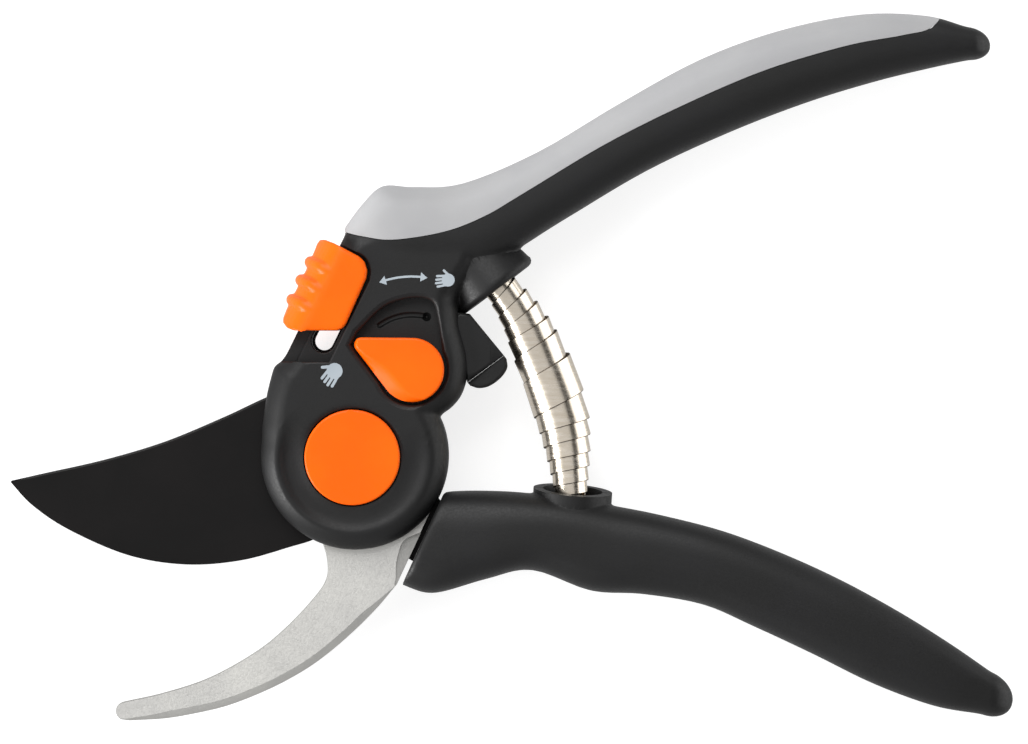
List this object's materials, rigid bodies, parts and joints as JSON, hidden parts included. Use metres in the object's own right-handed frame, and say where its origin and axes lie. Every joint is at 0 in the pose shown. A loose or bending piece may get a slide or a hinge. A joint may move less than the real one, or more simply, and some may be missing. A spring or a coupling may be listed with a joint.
{
  "type": "bypass pruning shears",
  "caption": "Bypass pruning shears with a cutting blade, a fixed hook, a thumb lock slider, a grip-width selector lever, a volute return spring and shell handles.",
  "frame": {"origin": "on the main pivot's axis, in the plane that the rear pivot cap and the handles lie on", "axes": "+Z along the pivot from the rear cap to the front cap; +X from the pivot towards the handles' tails; +Y towards the handle that carries the head cover"},
  "size_m": [0.2005, 0.1413, 0.0189],
  "materials": {
    "black_nylon": "fine spark-eroded grain",
    "grey_grip": "matt soft grip",
    "orange_nylon": "satin moulded",
    "black_rubber": "matt",
    "coated_steel": "black non-stick coating",
    "satin_steel": "blasted",
    "plated_steel": "zinc plated",
    "nickel_spring": "nickel plated",
    "bronze": "sintered"
  },
  "bodies": {
    "upper": {"front_housing": "black_nylon", "rear_housing": "black_nylon", "grip_inlay": "grey_grip", "hook_blade": "satin_steel", "hook_dowel_1": "satin_steel", "hook_dowel_2": "satin_steel", "upper_screw_1": "plated_steel", "upper_screw_2": "plated_steel", "upper_screw_3": "plated_steel", "upper_spring_post": "black_nylon", "pivot_bolt": "plated_steel", "pivot_nut": "plated_steel", "wave_washer": "plated_steel", "pivot_bush": "bronze", "pivot_cap": "orange_nylon", "rear_cap": "black_nylon", "bumper_block": "black_nylon", "bumper_pad": "black_rubber", "return_spring": "nickel_spring"},
    "lower": {"cutting_blade": "coated_steel", "tang_pin_1": "satin_steel", "tang_pin_2": "satin_steel", "lower_handle_front": "black_nylon", "lower_handle_rear": "black_nylon", "lower_screw_1": "plated_steel", "lower_screw_2": "plated_steel", "lower_screw_3": "plated_steel", "lower_spring_post": "black_nylon"},
    "lock": {"lock_slider": "orange_nylon", "lock_pin": "satin_steel"},
    "selector": {"selector_lever": "orange_nylon", "selector_shaft": "satin_steel"}
  },
  "joints": [
    {"name": "handle_close", "type": "hinge", "parent": "upper", "child": "lower", "pos_m": [0, 0, 0], "axis": [0, 0, 1], "range_deg": [0, 40], "stiffness_Nm_per_rad": 1.2, "springref_deg": -20.05, "deforming": ["return_spring"]},
    {"name": "lock_slide", "type": "slide", "parent": "upper", "child": "lock", "axis": [0.44, 0.898, 0], "range_m": [-0.006, 0]},
    {"name": "selector_turn", "type": "hinge", "parent": "upper", "child": "selector", "pos_m": [0.0119, 0.0174, 0], "axis": [0, 0, 1], "range_deg": [-77, 0]}
  ]
}
